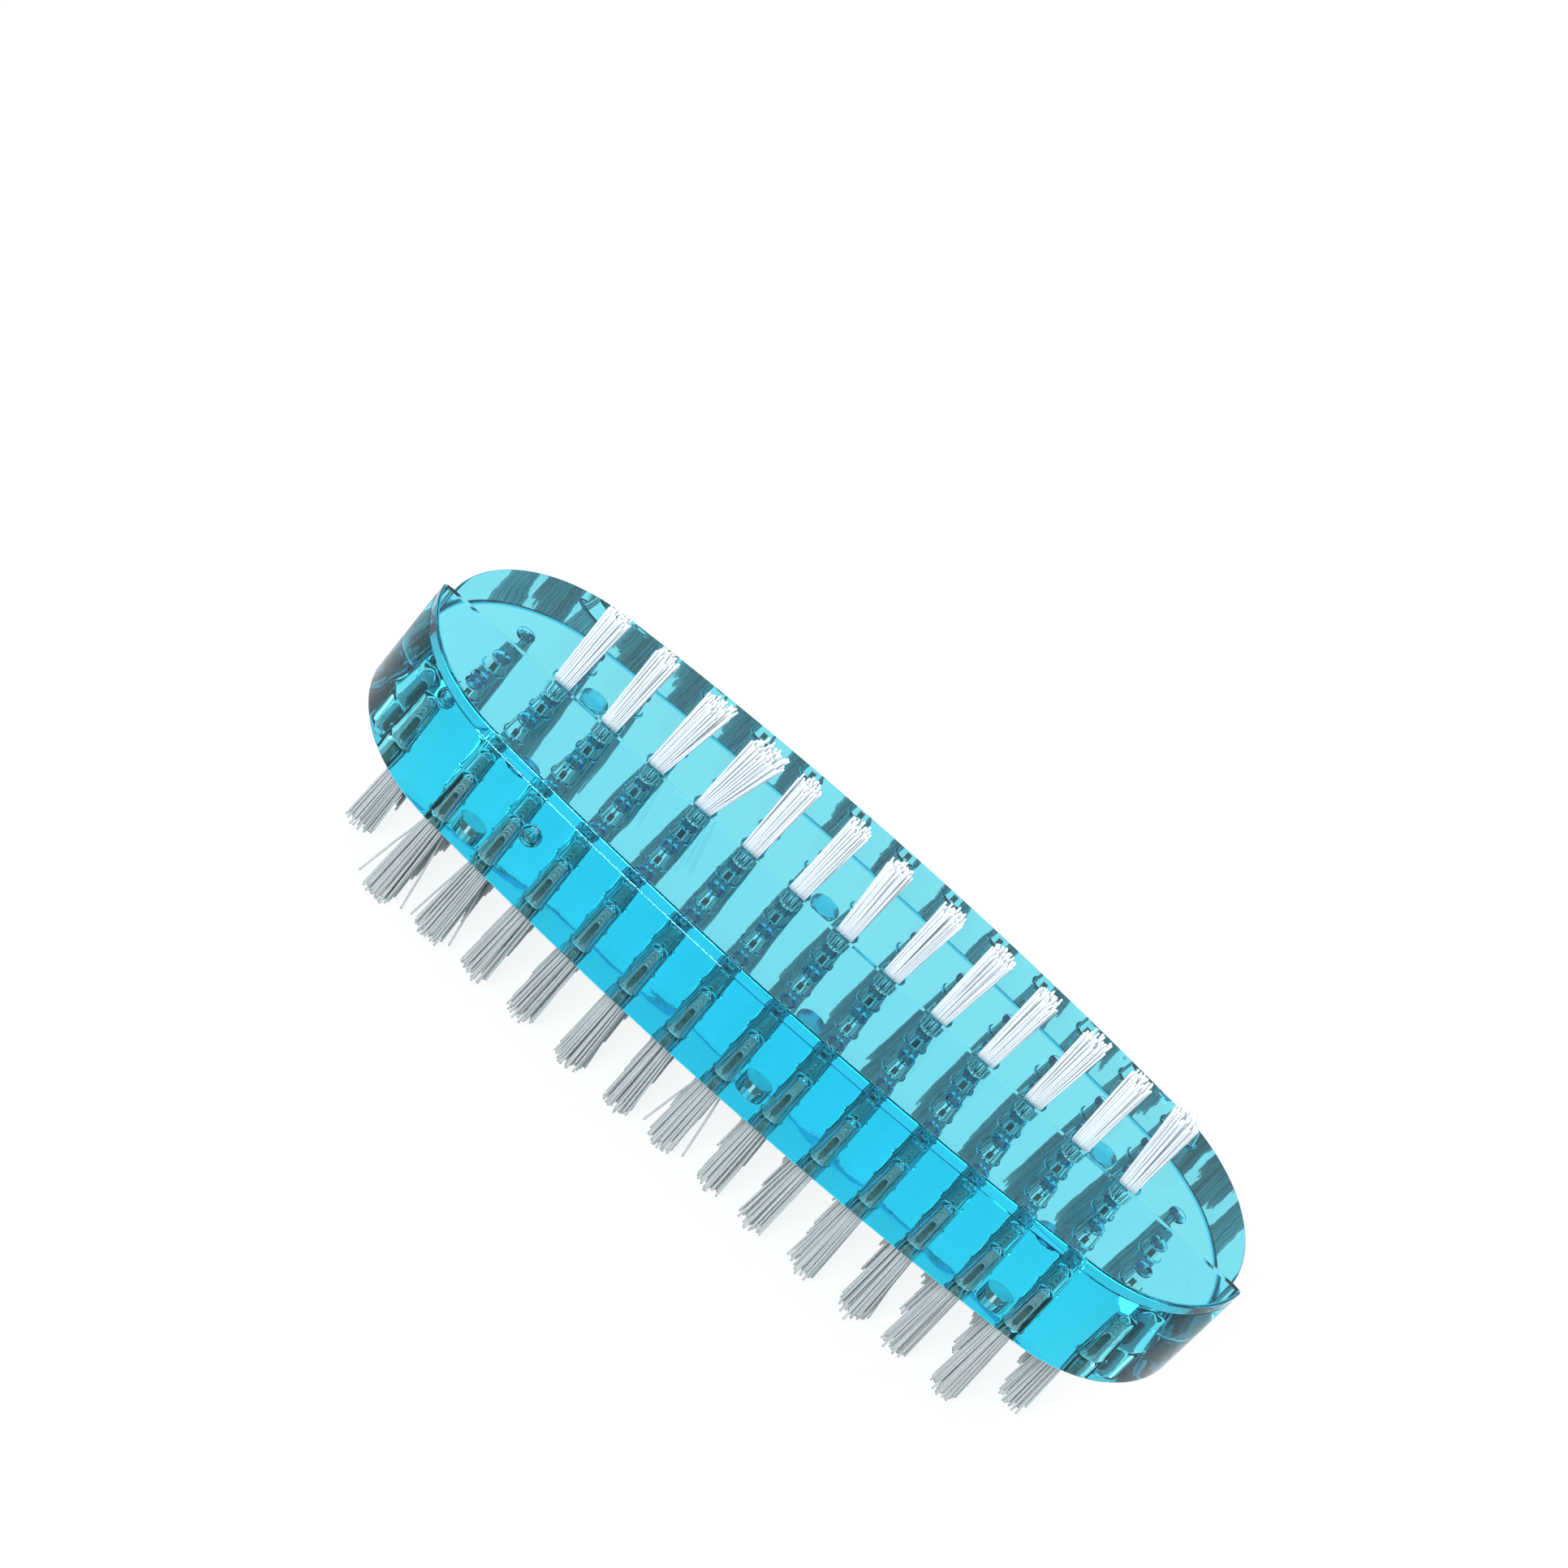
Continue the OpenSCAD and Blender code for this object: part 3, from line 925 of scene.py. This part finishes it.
for i in range(COLUMN_COUNT):
    column = []
    for row, anchors in enumerate(LOW_ROWS):
        if i not in row_columns(row):
            continue
        seat = Seat((tuft_x(i, COLUMN_COUNT), anchors.y, BLOCK_Z), -1, row_depth(row),
                    anchors.low - BLOCK_Z, anchors.high - BLOCK_Z)
        strays = LOW_STRAYS.get(i - COLUMN_COUNT // 2, ()) if row == 0 else ()
        stance = Stance(LOW_LENGTH - LOW_CUTS[i], LOW_LEANS[i], LOW_OPENING, LOW_BEND, LOW_RAGGED, strays)
        tuft = tuft_lines(seat, stance, np.random.default_rng(LOW_SEED + ROW_SEEDS * row + i))
        tuft[..., 2] = np.maximum(tuft[..., 2], FLOOR_GAP)
        column.append(tuft)
    # Painted shade: these tufts take the darker copy of the nylon.
    filament_piece(f"lower_tufts_{i + 1:02d}", column, painted_shade_nylon)

# %% [markdown]
# ## Floor, sky and lamps
# The photograph has a pure white ground. If the lamps made it white, they would burn
# out the nylon. So the floor's matt shader is mixed with a glow, by a share for each
# kind of ray, and the sky is brighter to look at than the light that it gives, while
# the lamps stay at a level that suits the brush. The floor's lit part carries the
# shadow.

# %% Floor
FLOOR_HALF = 1.5
FLOOR_GREY = 0.9
FLOOR_SEEN = 1.0
FLOOR_OTHERWISE = 0.9
GLOW_SHARES = {"Is Camera Ray": 0.86, "Is Transmission Ray": 0.9, "Is Glossy Ray": 0.9,
               "Is Diffuse Ray": 0.85}


def by_ray(tree, path, kind, value, otherwise):
    """One value for rays of that kind, and another for the rest."""
    node = tree.nodes.new("ShaderNodeMapRange")
    node.inputs["To Min"].default_value = otherwise
    node.inputs["To Max"].default_value = value
    tree.links.new(path.outputs[kind], node.inputs["Value"])
    return node.outputs["Result"]


def larger(tree, first, second):
    """The larger one of two values."""
    node = tree.nodes.new("ShaderNodeMath")
    node.operation = "MAXIMUM"
    tree.links.new(first, node.inputs[0])
    tree.links.new(second, node.inputs[1])
    return node.outputs["Value"]


def floor_material():
    """Pale matt floor, part lit and part glowing.

    A ray can be of several kinds at once, and the largest of their shares counts."""
    material, tree, output = node_material("pale_floor")
    path = tree.nodes.new("ShaderNodeLightPath")
    lit = tree.nodes.new("ShaderNodeBsdfDiffuse")
    lit.inputs["Color"].default_value = (FLOOR_GREY, FLOOR_GREY, FLOOR_GREY, 1)
    glow = tree.nodes.new("ShaderNodeEmission")
    strength = by_ray(tree, path, "Is Camera Ray", FLOOR_SEEN, FLOOR_OTHERWISE)
    tree.links.new(strength, glow.inputs["Strength"])
    first, *others = [by_ray(tree, path, kind, share, 0) for kind, share in GLOW_SHARES.items()]
    for other in others:
        first = larger(tree, first, other)
    mix = mix_shaders(tree, lit.outputs["BSDF"], glow.outputs["Emission"])
    tree.links.new(first, mix.inputs["Fac"])
    tree.links.new(mix.outputs["Shader"], output.inputs["Surface"])
    return material


floor_mesh = bpy.data.meshes.new("floor")
floor_corners = [(x * FLOOR_HALF, y * FLOOR_HALF, 0) for x, y in ((-1, -1), (1, -1), (1, 1), (-1, 1))]
floor_mesh.from_pydata(floor_corners, [], [(0, 1, 2, 3)])
floor_mesh.materials.append(floor_material())
put_in_scene("floor", floor_mesh)
print("floor in metres:", 2 * FLOOR_HALF, "square")

# %% Sky
SKY_SEEN = 1.3
SKY_LIGHT = 0.66

world = bpy.data.worlds.new("studio")
world.use_nodes = True
bpy.context.scene.world = world
tree = world.node_tree
tree.nodes.clear()
path = tree.nodes.new("ShaderNodeLightPath")
background = tree.nodes.new("ShaderNodeBackground")
sky = tree.nodes.new("ShaderNodeOutputWorld")
strength = by_ray(tree, path, "Is Diffuse Ray", SKY_LIGHT, SKY_SEEN)
tree.links.new(strength, background.inputs["Strength"])
tree.links.new(background.outputs["Background"], sky.inputs["Surface"])
print("sky gives", SKY_LIGHT, "and is seen as", SKY_SEEN)

# %% Lamps
# Sizes and places are in metres. The lens of the block would show the key lamp as a
# hard bright patch, so rays through the plastic don't see it.
LAMP_AIM = Vector((0, 0, 0.02))
KEY_PLACE, KEY_SIZE, KEY_WATTS = (-0.2, -0.75, 0.5), (0.35, 0.35), 11
OVERHEAD_PLACE, OVERHEAD_SIZE, OVERHEAD_WATTS = (0.0, 0.36, 0.8), (1.4, 0.24), 5


def soft_lamp(name, place, size, watts):
    """Rectangular area lamp turned towards the brush. Its size is its length and width."""
    data = bpy.data.lights.new(name, "AREA")
    data.shape = "RECTANGLE"
    data.size, data.size_y = size
    data.energy = watts
    lamp = put_in_scene(name, data)
    lamp.location = place
    lamp.rotation_euler = (LAMP_AIM - Vector(place)).to_track_quat("-Z", "Y").to_euler()
    print("lamp:", name, watts, "W")
    return lamp


key = soft_lamp("key", KEY_PLACE, KEY_SIZE, KEY_WATTS)
key.visible_transmission = False
soft_lamp("overhead", OVERHEAD_PLACE, OVERHEAD_SIZE, OVERHEAD_WATTS)

# %% [markdown]
# ## Render settings that belong to the scene
# Light passes a dozen walls on its way through the block, so it needs more bounces
# than usual. The colours are shown as written.

# %% Bounces and view transform
BOUNCES = 28
scene = bpy.context.scene
scene.cycles.max_bounces = BOUNCES
scene.cycles.transmission_bounces = BOUNCES
scene.cycles.transparent_max_bounces = BOUNCES
scene.view_settings.view_transform = "Standard"
